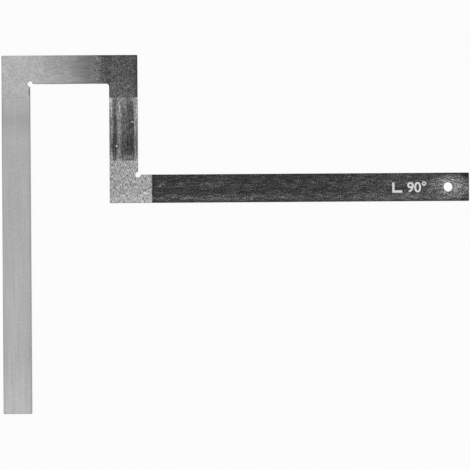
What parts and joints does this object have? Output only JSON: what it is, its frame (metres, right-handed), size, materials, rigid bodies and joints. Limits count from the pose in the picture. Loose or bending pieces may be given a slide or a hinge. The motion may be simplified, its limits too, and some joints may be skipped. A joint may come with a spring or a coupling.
{
  "type": "offset flange square",
  "caption": "Flat steel square with a long leg, a stepped offset over a gap, and an arm with a hanging hole; both measuring corners are relieved.",
  "frame": {"origin": "centre of the outline's box, on the back face", "axes": "+X along the arm towards its free end, +Y up the leg towards the top bar, +Z out of the front face"},
  "size_m": [0.495, 0.38, 0.005],
  "materials": {
    "ground_steel": "fine ground flat bar, pale and even, with a faint lengthwise grain",
    "faded_steel": "ground flat bar that darkens from pale steel to heat-blued grey along its length",
    "blued_steel": "dark mottled plate, heat blued, with darker rims",
    "rolled_steel": "hot-rolled bar with lengthwise light and dark bands and streaks",
    "dressed_steel": "pale plate dressed by hand with a coarse, short-grained texture",
    "scale_steel": "black mill scale with lengthwise streaks and worn, paler patches",
    "weld_steel": "weld metal ground flush, with heat tint beside it"
  },
  "bodies": {
    "root": {"leg": "ground_steel", "top_bar": "faded_steel", "riser": "rolled_steel", "arm": "scale_steel", "corner_top_left": "ground_steel", "corner_top_right": "blued_steel", "corner_lower": "dressed_steel", "weld_leg": "weld_steel", "weld_top_bar_left": "weld_steel", "weld_top_bar_right": "weld_steel", "weld_riser_top": "weld_steel", "weld_riser_bottom": "weld_steel", "weld_arm": "weld_steel"}
  },
  "joints": []
}
